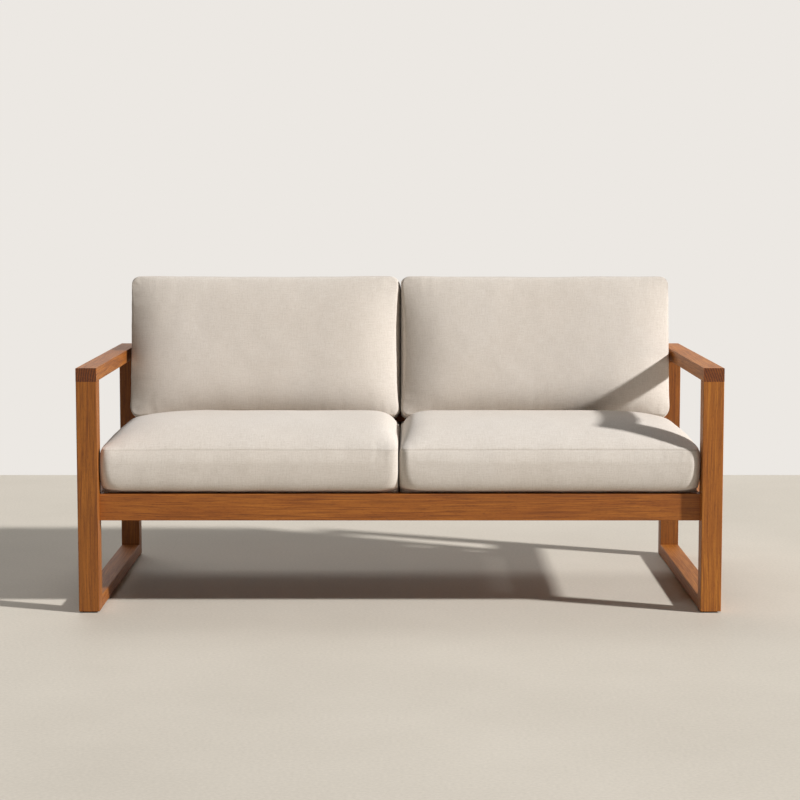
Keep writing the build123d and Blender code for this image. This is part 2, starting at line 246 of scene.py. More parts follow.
# Cloth: the sizes of what shows in it, how much each adds to the yarn's tone, and its colours
THREAD = 2.4 * MM
SLUB_LENGTH = 26 * MM
SPECKLE = THREAD / 0.7
FADE_SIZE = 285.7 * MM
WEAVE_RELIEF = 0.5 * MM
SLUB_SHARE = 0.34
SPECKLE_SHARE = 0.32
YARN_TONES = ((0.31, "#CAC1B6"), (0.5, "#D4CBC1"), (0.69, "#DBD4CB"))
FADE_TINT = "#F4EEE6"
# Painted shade in the seams' grooves: its colour, and how strongly it darkens the cloth there
GROOVE_SHADOW_TINT = "#9A8C7C"
GROOVE_SHADOW_STRENGTH = 0.2


def woven_acrylic():
    """Outdoor acrylic cloth, plain woven from heathered yarn: a matte, warm off-white with faint
    slubs both ways, darkened along the seams' grooves as painted shade. The real thread is about
    0.5 mm; it is drawn at THREAD, which still shows."""
    material, tree, shader = start_material("woven_acrylic")
    uv = add(tree, "UVMap", uv_map="weave").outputs[0]
    slubs = []
    for scale in ((1 / THREAD, 1 / SLUB_LENGTH, 1), (1 / SLUB_LENGTH, 1 / THREAD, 1)):
        drawn = add(tree, "Mapping", {"Vector": uv, "Scale": scale}).outputs[0]
        inputs = {"Vector": drawn, "Scale": 1, "Detail": 2, "Roughness": 0.55}
        slubs.append(add(tree, "TexNoise", inputs, noise_dimensions="2D").outputs["Fac"])
    speckle = add(
        tree, "TexNoise", {"Vector": uv, "Scale": 1 / SPECKLE, "Detail": 1}, noise_dimensions="2D"
    ).outputs["Fac"]
    yarn = weighted_sum(
        tree, ((slubs[0], SLUB_SHARE), (slubs[1], SLUB_SHARE), (speckle, SPECKLE_SHARE))
    )
    colour = add(tree, "ValToRGB", {"Fac": yarn}, YARN_TONES).outputs["Color"]
    fade = add(
        tree, "TexNoise", {"Vector": uv, "Scale": 1 / FADE_SIZE, "Detail": 2}, noise_dimensions="2D"
    ).outputs["Fac"]
    washed = add(
        tree, "MapRange", {"Value": fade, "From Min": 0.3, "From Max": 0.7, "To Max": 0.22}
    ).outputs[0]
    # Painted shade: the cloth is darkened along the seams' grooves, where shade falls
    seam = add(tree, "Attribute", attribute_name="seam").outputs["Fac"]
    sewn = add(tree, "Math", {0: seam, 1: GROOVE_SHADOW_STRENGTH}, operation="MULTIPLY").outputs[0]
    for amount, tint in ((washed, FADE_TINT), (sewn, GROOVE_SHADOW_TINT)):
        colour = add(
            tree, "Mix", {AMOUNT: amount, FIRST: colour, SECOND: linear(tint)}, **TINT
        ).outputs[BLENDED]
    warp, weft = (
        add(
            tree, "TexWave", {"Vector": uv, "Scale": WAVE_PERIOD / THREAD, "Distortion": 0.6},
            wave_type="BANDS", bands_direction=direction,
        ).outputs["Fac"]
        for direction in "XY"
    )
    crossed = add(tree, "Math", {0: warp, 1: weft}, operation="MULTIPLY").outputs[0]
    height = add(tree, "Math", {0: crossed, 1: yarn}, operation="ADD").outputs[0]
    bump = add(
        tree, "Bump", {"Height": height, "Strength": 0.3, "Distance": WEAVE_RELIEF}
    ).outputs[0]
    feed(tree, shader, {
        "Base Color": colour, "Normal": bump, "Roughness": 0.92, "Specular IOR Level": 0.2,
        "Sheen Weight": 0.12, "Sheen Roughness": 0.5,
    })
    return material


# Hardware and zips: the sizes of the marks on them, most of them drawn coarser than the real
# ones, so that they show
NYLON_PEBBLE = 1.111 * MM
NYLON_RELIEF = 0.2 * MM
STEEL_MARK = 0.714 * MM
BEECH_FLECK = 2 * MM
TAPE_RIB = 1.2 * MM
TAPE_RELIEF = 0.15 * MM
COIL_MARK = 3.85 * MM


def moulded_nylon():
    """Black nylon, moulded: matte with a faint pebble."""
    material, tree, shader = start_material("moulded_nylon")
    where = add(tree, "TexCoord").outputs["Object"]
    pebble = add(
        tree, "TexNoise", {"Vector": where, "Scale": 1 / NYLON_PEBBLE, "Detail": 2}
    ).outputs["Fac"]
    stops = ((0.3, "#151515"), (0.7, "#262524"))
    colour = add(tree, "ValToRGB", {"Fac": pebble}, stops).outputs["Color"]
    bump = add(
        tree, "Bump", {"Height": pebble, "Strength": 0.3, "Distance": NYLON_RELIEF}
    ).outputs[0]
    feed(tree, shader, {"Base Color": colour, "Normal": bump, "Roughness": 0.6})
    return material


def turned_steel(name, code):
    """Stainless steel or nickel, turned and tumbled: fine marks that blur the reflections."""
    material, tree, shader = start_material(name)
    where = add(tree, "TexCoord").outputs["Object"]
    marks = add(
        tree, "TexNoise", {"Vector": where, "Scale": 1 / STEEL_MARK, "Detail": 3}
    ).outputs["Fac"]
    stops = ((0.3, code), (0.7, "#C9C7C2"))
    colour = add(tree, "ValToRGB", {"Fac": marks}, stops).outputs["Color"]
    rough = add(tree, "MapRange", {"Value": marks, "To Min": 0.28, "To Max": 0.46}).outputs[0]
    feed(tree, shader, {"Base Color": colour, "Roughness": rough, "Metallic": 1.0})
    return material


def turned_beech():
    """Beech dowel, turned and dry: pale, with short flecks."""
    material, tree, shader = start_material("turned_beech")
    where = add(tree, "TexCoord").outputs["Object"]
    fleck = add(
        tree, "TexNoise", {"Vector": where, "Scale": 1 / BEECH_FLECK, "Detail": 2}
    ).outputs["Fac"]
    stops = ((0.35, "#C49A6C"), (0.65, "#DDBB90"))
    colour = add(tree, "ValToRGB", {"Fac": fleck}, stops).outputs["Color"]
    feed(tree, shader, {"Base Color": colour, "Roughness": 0.7})
    return material


def zip_tape():
    """Polyester zip tape dyed to the cover: matte, with fine ribs along its length."""
    material, tree, shader = start_material("zip_tape")
    where = add(tree, "TexCoord").outputs["Object"]
    rib = add(
        tree, "TexWave", {"Vector": where, "Scale": WAVE_PERIOD / TAPE_RIB, "Distortion": 0.4},
        wave_type="BANDS", bands_direction="Z",
    ).outputs["Fac"]
    stops = ((0.2, "#BDB1A3"), (0.8, "#CEC4B7"))
    colour = add(tree, "ValToRGB", {"Fac": rib}, stops).outputs["Color"]
    bump = add(tree, "Bump", {"Height": rib, "Strength": 0.4, "Distance": TAPE_RELIEF}).outputs[0]
    feed(tree, shader, {"Base Color": colour, "Normal": bump, "Roughness": 0.85})
    return material


def coil_nylon():
    """Zip coil: smooth moulded nylon in the cover's colour."""
    material, tree, shader = start_material("coil_nylon")
    where = add(tree, "TexCoord").outputs["Object"]
    shade = add(
        tree, "TexNoise", {"Vector": where, "Scale": 1 / COIL_MARK, "Detail": 2}
    ).outputs["Fac"]
    stops = ((0.3, "#B4A695"), (0.7, "#CBBFB0"))
    colour = add(tree, "ValToRGB", {"Fac": shade}, stops).outputs["Color"]
    feed(tree, shader, {"Base Color": colour, "Roughness": 0.45})
    return material


# Floor: the sizes of its clouds and of its speckle, and how much each adds to its tone
FLOOR_CLOUD = 833.3 * MM
FLOOR_SPECKLE = 7.143 * MM
CLOUD_SHARE = 0.55
SAND_SHARE = 0.45


def pale_floor():
    """Pale honed concrete: nearly even, with soft clouds and a sandy speckle, which is drawn
    coarser than the real sand, so that it shows."""
    material, tree, shader = start_material("pale_floor")
    where = add(tree, "TexCoord").outputs["Object"]
    cloud = add(
        tree, "TexNoise",
        {"Vector": where, "Scale": 1 / FLOOR_CLOUD, "Detail": 6, "Roughness": 0.6},
    ).outputs["Fac"]
    speckle = add(
        tree, "TexNoise", {"Vector": where, "Scale": 1 / FLOOR_SPECKLE, "Detail": 2}
    ).outputs["Fac"]
    shade = weighted_sum(tree, ((cloud, CLOUD_SHARE), (speckle, SAND_SHARE)))
    stops = ((0.35, "#C7BFB2"), (0.65, "#D5CDC0"))
    colour = add(tree, "ValToRGB", {"Fac": shade}, stops).outputs["Color"]
    feed(tree, shader, {"Base Color": colour, "Roughness": 0.6, "Specular IOR Level": 0.2})
    return material


# Frame: the wooden nodes by the axis that their grain runs along. The side frames show most, so
# the stock of their boards is chosen, as for all left and right nodes; other boards take turns.
GRAIN_NODES = {
    "X": ("front_rail", "rear_rail", "front_ledgers", "rear_ledgers", "back_slat"),
    "Y": ("armrest", "foot_rail", "side_rail", "seat_slat", "centre_stretcher"),
    "Z": ("front_leg", "rear_leg", "back_stile", "back_batten"),
}
# Painted shade: the right rear leg takes the darker stock b, for the shade that falls on it behind the
# seat
SHADED_LEG_STOCK = {"rear_leg_right": "b"}
SIDE_STOCK = {"left": "b", "right": "a"}
STOCK_TURNS = "acb"


def give_material(piece, material):
    """Puts one material all over a CAD node."""
    for slot in piece.material_slots:
        slot.material = material
    if not piece.material_slots:
        piece.data.materials.append(material)


def finish_boards():
    """Gives every wooden node its grain and stock."""
    boards = [
        (name, grain)
        for name in sorted(NODES)
        for grain, stems in GRAIN_NODES.items() if name.startswith(stems)
    ]
    woods = {}
    for turn, (name, grain) in enumerate(boards):
        taken = STOCK_TURNS[turn % len(STOCK_TURNS)]
        # A leg in shade takes a darker stock, as painted shade
        stock = SHADED_LEG_STOCK.get(name) or SIDE_STOCK.get(name.split("_")[-1], taken)
        if (grain, stock) not in woods:
            woods[grain, stock] = oiled_hardwood(grain, stock)
        give_material(NODES[name], woods[grain, stock])


def finish_hardware():
    """Gives the pads, dowels, bolts, nuts and screws their materials."""
    steel = turned_steel("turned_steel", "#8F8D88")
    materials = {
        "glide": moulded_nylon(),
        "dowels": turned_beech(),
        "frame_bolts": steel,
        "barrel_nuts": steel,
        "wood_screws": steel,
    }
    for name, piece in NODES.items():
        for stem, material in materials.items():
            if name.startswith(stem):
                give_material(piece, material)


# Cushion shapes: the powers of their curves, and the sizes of the grid that they are drawn on
CROWN_POWER = 4
CROWN_ROOT = 0.8
FOOT_POWER = 2.5
FILL_POWER = 16
TUCKED_FILL_POWER = 64
SEAM_INSET_POWER = 2
DRAWN_POWER = 1.5
PRESSED_SIDE = 60 * MM
SMALL_CORNER = 7 * MM
COVER_CELL = 9 * MM
FINE_INSETS = (1.2 * MM, 3.2 * MM, 6.5 * MM, 11 * MM, 17 * MM, 25 * MM)
FOOT_ROWS = 9
SIDE_ROWS = 6
ROWS_BELOW_SEAM = (3.5 * MM, 1.3 * MM)
BOXING_SHIFT = 2
LEFT, RIGHT, NEAR, FAR = range(4)


def crown_curve(share, power=CROWN_POWER, root=CROWN_ROOT):
    """How much of its crown a cushion has reached at a share of the way in from its seam."""
    return (1 - (1 - min(share, 1)) ** power) ** root


def graded(half):
    """Grid places from -half to half: fine at both ends, where the cloth turns, then even."""
    edge = [-half] + [-half + inset for inset in FINE_INSETS]
    inner = -edge[-1]
    count = max(2, round(2 * inner / COVER_CELL))
    middle = [-inner + 2 * inner * i / count for i in range(1, count)]
    return edge + middle + [-x for x in reversed(edge)]


def once_round(last_x, last_y):
    """Grid places once round the edge of a panel."""
    there = [(i, 0) for i in range(last_x)] + [(last_x, j) for j in range(last_y)]
    back = [(i, last_y) for i in range(last_x, 0, -1)] + [(0, j) for j in range(last_y, 0, -1)]
    return there + back


def add_panel(bm, weave, points, xs, ys, shift, way):
    """The faces of a panel over its grid of points. way is 1 for the top and -1 for the bottom."""
    for i in range(len(xs) - 1):
        for j in range(len(ys) - 1):
            ring = ((i, j), (i + 1, j), (i + 1, j + 1), (i, j + 1))[::way]
            face = bm.faces.new([points[a][b] for a, b in ring])
            for loop, (a, b) in zip(face.loops, ring):
                loop[weave].uv = (xs[a] + shift, ys[b] + shift * way)


def add_boxing(bm, weave, rings, rows, shift):
    """The faces of the boxing between its rings. Its weave runs along the seam and up from the
    foot, and lies BOXING_SHIFT away from the panels' weave."""
    seam = rings[-1]
    along = [0.0]
    for here, there in zip(seam, seam[1:] + seam[:1]):
        along.append(along[-1] + (there.co - here.co).length)
    up = [0.0]
    for lower, upper in zip(rows, rows[1:]):
        up.append(up[-1] + math.hypot(upper[0] - lower[0], upper[1] - lower[1]))
    for row, (lower, upper) in enumerate(zip(rings, rings[1:])):
        for k in range(len(seam)):
            after = (k + 1) % len(seam)
            face = bm.faces.new((lower[k], lower[after], upper[after], upper[k]))
            corners = ((k, row), (k + 1, row), (k + 1, row + 1), (k, row + 1))
            for loop, (step, level) in zip(face.loops, corners):
                loop[weave].uv = (along[step] + shift + BOXING_SHIFT, up[level] + BOXING_SHIFT)


class Cushion:
    """A boxed cushion lying on z = 0, with its near end at y = 0 and its middle at x = 0.

    widest is the height at which it is widest, seam the height of its top seam, and crown how
    far its top panel rises above that. The seam lies seam_inset inside the widest level, and
    the foot foot_inset. sides gives, for the left, right, near and far sides, how far the seam
    is drawn in between the corners, and fills how far the foot fills out there; runs gives how
    far in the crown keeps rising from each. flat is the power of the drawn sides' curve, and
    foot_corner how much rounder the corners are at the foot. pressed is the length and height
    of a ramp at the far end that carries a load. lip is how high the boxing's lower edge hangs,
    and tuck how far behind it the near end touches down. slack is the power and root of a far
    side that slopes back slowly, as the filling settles, and side_root the root of the rise
    from the left and right sides, which starts more steeply the lower it is."""

    def __init__(self, *, width, depth, widest, seam, crown, seam_inset, foot_inset, corner,
                 sides, fills, runs, flat=2, foot_corner=0, pressed=None,
                 lip=0.5 * MM, tuck=0, slack=None, side_root=1):
        self.half_x, self.half_y = width / 2, depth / 2
        self.widest, self.seam, self.crown = widest, seam, crown
        self.seam_inset, self.foot_inset, self.corner = seam_inset, foot_inset, corner
        self.sides, self.fills, self.runs = sides, fills, runs
        self.flat, self.foot_corner, self.pressed = flat, foot_corner, pressed
        self.lip, self.tuck = lip, tuck
        self.slack, self.side_root = slack, side_root

    def outline(self, x, y, inset, drawn, filled=0, tuck=0):
        """Where a point of the plain rectangle goes in a level that lies inset from the widest
        one: its corners are rounded, and its sides are drawn in or filled out between them."""
        half_x, half_y = self.half_x - inset, self.half_y - inset
        x, y = x * half_x / self.half_x, y * half_y / self.half_y
        rounder = 0 if tuck else filled * self.foot_corner
        corner = max(self.corner - inset + rounder, SMALL_CORNER)
        flat_x, flat_y = half_x - corner, half_y - corner
        across, along = (abs(x) - flat_x) / corner, (abs(y) - flat_y) / corner
        if across > 0 and along > 0:
            # A square corner goes to a round one, each row and column to a part of an ellipse
            x = math.copysign(flat_x + corner * across * math.sqrt(1 - along * along / 2), x)
            y = math.copysign(flat_y + corner * along * math.sqrt(1 - across * across / 2), y)
        side = RIGHT if x > 0 else LEFT
        end = FAR if y > 0 else NEAR
        fill_power = TUCKED_FILL_POWER if tuck else FILL_POWER
        moves = []
        for index, place in ((side, abs(y / half_y)), (end, abs(x / half_x))):
            pulled = self.sides[index] * drawn * (1 - place ** self.flat)
            moves.append(pulled - self.fills[index] * filled * (1 - place ** fill_power))
        if end == NEAR:
            moves[1] += tuck
        return x * (1 - moves[0] / half_x), y * (1 - moves[1] / half_y) + self.half_y

    def crown_point(self, x, y):
        """A point of the top panel."""
        from_near, from_far = self.half_y + y, self.half_y - y
        inward = self.half_x - abs(x)
        side_run = self.runs[RIGHT if x > 0 else LEFT]
        across = crown_curve(inward / side_run, root=self.side_root)
        if self.slack:
            rise = across * crown_curve(from_near / self.runs[NEAR], root=1)
            rise *= crown_curve(from_far / self.runs[FAR], *self.slack)
        elif y <= 0:
            rise = across * crown_curve(from_near / self.runs[NEAR])
        elif self.pressed:
            length, height = self.pressed
            beyond = max(from_far - length, 0) / (self.half_y - length)
            held = (1 - beyond) ** 2
            ramp_share = height / self.crown * min(from_far / length, 1)
            wide = crown_curve(inward / PRESSED_SIDE)
            rise = (1 - (1 - ramp_share) * held) * (across + (wide - across) * held)
        else:
            rise = across * crown_curve(from_far / self.runs[FAR])
        return Vector((*self.outline(x, y, self.seam_inset, 1), self.seam + self.crown * rise))

    def boxing_levels(self):
        """Height, inset, share drawn in, share filled out and tuck for each row of the boxing,
        from its foot to its seam."""
        levels = [(0, self.foot_inset, 0, 1, self.tuck)]
        for row in range(FOOT_ROWS):
            up = 1 - math.cos(math.radians(90 * row / FOOT_ROWS))
            inset = self.foot_inset * (1 - (1 - (1 - up) ** FOOT_POWER) ** (1 / FOOT_POWER))
            height = self.lip + (self.widest - self.lip) * up
            levels.append((height, inset, 0, inset / self.foot_inset, 0))
        rise = self.seam - self.widest
        shares = [row / SIDE_ROWS for row in range(SIDE_ROWS)]
        shares += [1 - below / rise for below in ROWS_BELOW_SEAM] + [1]
        for share in shares:
            inset = self.seam_inset * share ** SEAM_INSET_POWER
            levels.append((self.widest + rise * share, inset, share ** DRAWN_POWER, 0, 0))
        return levels

    def build(self, name, shift):
        """The cover as one closed mesh: top panel, bottom panel and the boxing between them.
        Its weave is laid out flat in metres, moved by shift so that no two cushions match."""
        xs, ys = graded(self.half_x), graded(self.half_y)
        rows = self.boxing_levels()
        bm = bmesh.new()
        sewn = bm.verts.layers.float.new("sewn")
        weave = bm.loops.layers.uv.new("weave")
        top = [[bm.verts.new(self.crown_point(x, y)) for y in ys] for x in xs]
        foot = rows[0][1:]
        bottom = [[bm.verts.new((*self.outline(x, y, *foot), 0)) for y in ys] for x in xs]
        add_panel(bm, weave, top, xs, ys, shift, 1)
        add_panel(bm, weave, bottom, xs, ys, shift, -1)
        walk = once_round(len(xs) - 1, len(ys) - 1)
        rings = [[bottom[i][j] for i, j in walk]]
        for height, *level in rows[1:-1]:
            places = [self.outline(xs[i], ys[j], *level) for i, j in walk]
            rings.append([bm.verts.new((*place, height)) for place in places])
        rings.append([top[i][j] for i, j in walk])
        add_boxing(bm, weave, rings, rows, shift)
        for vert in rings[0] + rings[-1]:
            vert[sewn] = 1.0
        bmesh.ops.recalc_face_normals(bm, faces=bm.faces)
        mesh = bpy.data.meshes.new(name)
        bm.to_mesh(mesh)
        bm.free()
        cushion = bpy.data.objects.new(name, mesh)
        bpy.context.scene.collection.objects.link(cushion)
        return cushion


# Mesh helpers

def select_only(piece):
    """Makes one piece the active and only selected one."""
    for other in bpy.context.selected_objects:
        other.select_set(False)
    bpy.context.view_layer.objects.active = piece
    piece.select_set(True)


def apply_modifier(piece, kind, **settings):
    """Adds one modifier and applies it."""
    modifier = piece.modifiers.new(kind.title(), kind)
    for name, value in settings.items():
        setattr(modifier, name, value)
    select_only(piece)
    bpy.ops.object.modifier_apply(modifier=modifier.name)


# Sewing: the seam's groove, the puckers beside it, which are strongest at the corners, and the
# long waves and shorter ripples of the cloth. Below FLAT_FOOT a cushion lies flat, and each
# one's seed moves its noise, so that no two match.
GROOVE_WIDTH = 1.6 * MM
GROOVE_DEPTH = 0.9 * MM
PUCKER_PITCH = 13 * MM
PUCKER_START = 4 * MM
PUCKER_REACH = {"seat": 26 * MM, "back": 42 * MM}
PUCKER_HEIGHT = 0.9 * MM
PUCKER_LEAST = 0.35
PUCKER_AT_CORNER = 1.6
CORNER_REACH = 70 * MM
WAVE_LENGTH = 110 * MM
WAVE_HEIGHT = 1.3 * MM
RIPPLE_LENGTH = 46 * MM
RIPPLE_SHARE = 0.4
FLAT_FOOT = 1.8 * MM
SEWN_LEAST = 0.99
SEEDS = {"seat": 3.7, "back": 8.1}
SEED_SKEW = 0.7


def sew_details(piece, shape, seed, reach):
    """Presses the seam lines in, gathers small puckers square to them and lets the cloth wave."""
    mesh = piece.data
    sewn = [item.value for item in mesh.attributes["sewn"].data]
    seams = [vert.co.copy() for vert, mark in zip(mesh.vertices, sewn) if mark > SEWN_LEAST]
    tree = kdtree.KDTree(len(seams))
    for index, point in enumerate(seams):
        tree.insert(point, index)
    tree.balance()
    shade = mesh.attributes.new("seam", "FLOAT", "POINT")
    normals = [vert.normal.copy() for vert in mesh.vertices]
    shift = Vector((seed, seed * SEED_SKEW, 0))
    corners = [
        Vector((x * shape.half_x, (1 + y) * shape.half_y, shape.seam)) for x in (-1, 1) for y in (-1, 1)
    ]
    for index, (vert, normal) in enumerate(zip(mesh.vertices, normals)):
        point = vert.co.copy()
        seam, _, distance = tree.find(point)
        groove = math.exp(-((distance / GROOVE_WIDTH) ** 2))
        to_corner = min((seam - corner).length for corner in corners)
        strength = PUCKER_LEAST + PUCKER_AT_CORNER * math.exp(-to_corner / CORNER_REACH)
        fade = math.exp(-distance / reach) * (1 - math.exp(-distance / PUCKER_START))
        pucker = noise.noise(seam / PUCKER_PITCH + shift) * fade * strength
        wave = noise.noise(point / WAVE_LENGTH + shift)
        wave += RIPPLE_SHARE * noise.noise(point / RIPPLE_LENGTH + shift)
        lift = PUCKER_HEIGHT * pucker + WAVE_HEIGHT * wave * (1 - groove) - GROOVE_DEPTH * groove
        vert.co = point + normal * lift
        # The groove's share is kept for the cloth's painted shade along the seams
        shade.data[index].value = groove
    mesh.attributes.remove(mesh.attributes["sewn"])


# How the covers fill their room: how far they stand proud of the CAD covers at the front, and
# how the two of a pair press against each other in the middle, in a plane slightly askew
SEAT_PROUD = 18 * MM
BACK_PROUD = 6 * MM
MIDDLE_GAP = 0.6 * MM
MEETING_SLANT = 0.012
MEETING_REACH = 3 * MM

# The back cushions and their zips stand on a leaning plane. It passes BACK_FRAME_GAP behind the
# rear rail's back, level with the rail's top, and BACK_TOP and BACK_ZIP_RISE run up it from there.
BACK_LEAN = math.radians(9)
BACK_FRAME_GAP = 1.2 * MM
BACK_REST_GAP = 0.35 * MM
BACK_TOP = 474.7 * MM
BACK_ZIP_RISE = 439.67 * MM
BACK_ZIP_INSET = 0.3 * MM

# How far the back cushions' rear lower edges lie below the seat cushions' seams
BACK_SINK = 1.9 * MM

# The seat cushions' cut. Their crown stays SEAT_SLACK under the CAD cover's top.
SEAT_SEAM = 104 * MM
SEAT_SLACK = 3 * MM
SEAT_RUN_OUTER = 0.43
SEAT_RUN_INNER = 0.15
SEAT_RUN_NEAR = 0.45
SEAT_CUT = {
    "widest": 72 * MM,
    "seam": SEAT_SEAM,
    "seam_inset": 3 * MM,
    "foot_inset": 20 * MM,
    "corner": 26 * MM,
    "foot_corner": 40 * MM,
    "sides": (2 * MM, 2 * MM, 8 * MM, 0),
    "fills": (20 * MM, 20 * MM, 0, 8 * MM),
    "flat": 6,
    "pressed": (140 * MM, 20 * MM),
    "lip": 8 * MM,
    "tuck": 16 * MM,
    "side_root": 0.53,
}

# The back cushions' cut, lying on their backs: near is their foot and far their top
BACK_DRAWN_OUTER = 4 * MM
BACK_DRAWN_INNER = 12 * MM
BACK_DRAWN_NEAR = 16 * MM
BACK_DRAWN_FAR = 4 * MM
BACK_RUN_SIDE = 0.32
BACK_RUN_NEAR = 0.42
BACK_RUN_FAR = 0.62
BACK_CUT = {
    "widest": 78 * MM,
    "seam": 150 * MM,
    "crown": 32 * MM,
    "seam_inset": 5 * MM,
    "foot_inset": 22 * MM,
    "corner": 30 * MM,
    "fills": (10 * MM, 10 * MM, 0, 6 * MM),
    "slack": (1.5, 0.5),
}


def in_order(word, outer, inner):
    """Values for the outer and inner sides of a cushion, as left and right."""
    return (outer, inner) if word == "left" else (inner, outer)


def cushion_room(node, word, proud):
    """The room of a cover: its CAD node's box, proud of it at the front, and past the middle by
    enough for its neighbour to press it."""
    low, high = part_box(f"{node}_{word}")
    low.y -= proud
    if word == "left":
        high.x = MEETING_REACH
    else:
        low.x = -MEETING_REACH
    return low, high


def keep_clear(piece, word, low, high):
    """Holds the cover inside its room, and on its own side of the plane in which the two
    cushions of a pair meet, so that no light shows between them."""
    side = -1 if word == "left" else 1
    for vert in piece.data.vertices:
        for axis in range(3):
            vert.co[axis] = min(max(vert.co[axis], low[axis]), high[axis])
        meeting = MEETING_SLANT * vert.co.y + side * MIDDLE_GAP / 2
        vert.co.x = side * max(side * vert.co.x, side * meeting)


def leaning_plane():
    """The place and turn of the plane that the back cushions stand on."""
    rail_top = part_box("rear_rail")[1]
    point = Vector((0, rail_top.y + BACK_FRAME_GAP, rail_top.z))
    return Matrix.Translation(point) @ Matrix.Rotation(-BACK_LEAN, 4, "X")


def make_cushion(kind, word, shape, place, room, fabric):
    """One finished cushion, in its place."""
    seed = SEEDS[kind] + SIDES.index(word)
    piece = shape.build(f"{kind}_cushion_{word}", seed)
    apply_modifier(piece, "SUBSURF", levels=1, render_levels=1)
    sew_details(piece, shape, seed, PUCKER_REACH[kind])
    for vert in piece.data.vertices:
        if vert.co.z < FLAT_FOOT:
            vert.co.z = 0
    piece.data.transform(place)
    keep_clear(piece, word, *room)
    select_only(piece)
    bpy.ops.object.shade_smooth()
    piece.data.materials.append(fabric)
    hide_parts(f"{kind}_cover_{word}", f"{kind}_foam_{word}")
    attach(piece, f"{kind}_cushion_{word}")


def make_seat_cushion(word, fabric):
    """A seat cushion: fuller at its front, and pressed down at the rear by its back cushion."""
    low, high = cushion_room("seat_cover", word, SEAT_PROUD)
    size = high - low
    side_runs = in_order(word, SEAT_RUN_OUTER * size.x, SEAT_RUN_INNER * size.x)
    shape = Cushion(
        width=size.x, depth=size.y, crown=size.z - SEAT_SEAM - SEAT_SLACK,
        runs=(*side_runs, SEAT_RUN_NEAR * size.y, 0), **SEAT_CUT,
    )
    place = Matrix.Translation(((low.x + high.x) / 2, low.y, low.z))
    make_cushion("seat", word, shape, place, (low, high), fabric)


def make_back_cushion(word, fabric):
    """A back cushion, stood up from lying on its back and leant against the slats."""
    low, high = cushion_room("back_cover", word, BACK_PROUD)
    width = high.x - low.x
    foot = (SEAT_SEAM - BACK_SINK) / math.cos(BACK_LEAN)
    height = BACK_TOP - foot
    side_run = BACK_RUN_SIDE * width
    shape = Cushion(
        width=width, depth=height,
        sides=(*in_order(word, BACK_DRAWN_OUTER, BACK_DRAWN_INNER), BACK_DRAWN_NEAR, BACK_DRAWN_FAR),
        runs=(side_run, side_run, BACK_RUN_NEAR * height, BACK_RUN_FAR * height), **BACK_CUT,
    )
    stand = Matrix.Translation(((low.x + high.x) / 2, -BACK_REST_GAP, foot))
    place = leaning_plane() @ stand @ Matrix.Rotation(math.pi / 2, 4, "X")
    make_cushion("back", word, shape, place, (low, high), fabric)


def make_cushions():
    """The two seat cushions and the two back cushions that stand on them."""
    fabric = woven_acrylic()
    for word in SIDES:
        make_seat_cushion(word, fabric)
        make_back_cushion(word, fabric)


# Zips, one for each cushion: X runs along the zip, Y is the height, with the cover's face at 0,
# and Z runs across it. Heights are pairs of low and high, and halves are half widths.
ZIP_TAPE_WIDTH = 24 * MM
LIP_HEIGHTS = (-1.4 * MM, 0.9 * MM)
LIP_GAP = 0.4 * MM
LIP_EDGE = 0.4 * MM
BED_HEIGHTS = (-1.4 * MM, -0.2 * MM)
BED_HALF = 4.4 * MM
BED_EDGE = 0.2 * MM
TOOTH_HEIGHTS = (-0.3 * MM, 0.8 * MM)
TOOTH_HALF = 2.2 * MM
TOOTH_EDGE = 0.35 * MM
TOOTH_LENGTH = 1.3 * MM
TOOTH_PITCH = 1.9 * MM
FIRST_TOOTH = 4 * MM
STOP_HEIGHTS = (-0.3 * MM, 0.85 * MM)
STOP_HALF = 3 * MM
STOP_EDGE = 0.3 * MM
STOP_LENGTH = 2 * MM
STOP_INSET = 1 * MM
SMOOTH_ANGLE = math.radians(35)

# The slider's body, bridge and pull: where each starts and ends along the zip, its heights, its
# half width and how far its edges are rounded
SLIDER_PARTS = (
    ((0, 12 * MM), (1.0 * MM, 1.8 * MM), 4.4 * MM, 0.3 * MM),
    ((2.5 * MM, 11 * MM), (1.6 * MM, 3.2 * MM), 1.4 * MM, 0.5 * MM),
    ((9.5 * MM, 34 * MM), (2.1 * MM, 3.1 * MM), 2.5 * MM, 0.4 * MM),
)


def rounded_bar(run, heights, across, edge):
    """A bar with rounded edges, between two places along the zip, in height and across it."""
    bpy.ops.mesh.primitive_cube_add(size=1)
    piece = bpy.context.active_object
    low, high = (Vector(corner) for corner in zip(run, heights, across))
    piece.data.transform(Matrix.Translation((low + high) / 2) @ Matrix.Diagonal((*(high - low), 1)))
    select_only(piece)
    bpy.ops.object.mode_set(mode="EDIT")
    bpy.ops.mesh.select_all(action="SELECT")
    bpy.ops.mesh.bevel(offset=edge, segments=2, affect="EDGES")
    bpy.ops.object.mode_set(mode="OBJECT")
    return piece


def join_as(name, parts):
    """Joins (piece, material) pairs into one named piece."""
    for piece, material in parts:
        piece.data.materials.append(material)
    select_only(parts[0][0])
    for piece, _ in parts[1:]:
        piece.select_set(True)
    bpy.ops.object.join()
    joined = bpy.context.active_object
    joined.name = name
    joined.data.name = name
    return joined


def make_teeth(start, end):
    """A row of teeth, from one modelled tooth."""
    first = start + FIRST_TOOTH
    tooth = rounded_bar(
        (first, first + TOOTH_LENGTH), TOOTH_HEIGHTS, (-TOOTH_HALF, TOOTH_HALF), TOOTH_EDGE
    )
    apply_modifier(
        tooth, "ARRAY", count=int((end - start - 2 * FIRST_TOOTH) / TOOTH_PITCH),
        use_relative_offset=False, use_constant_offset=True,
        constant_offset_displace=(TOOTH_PITCH, 0, 0),
    )
    return tooth


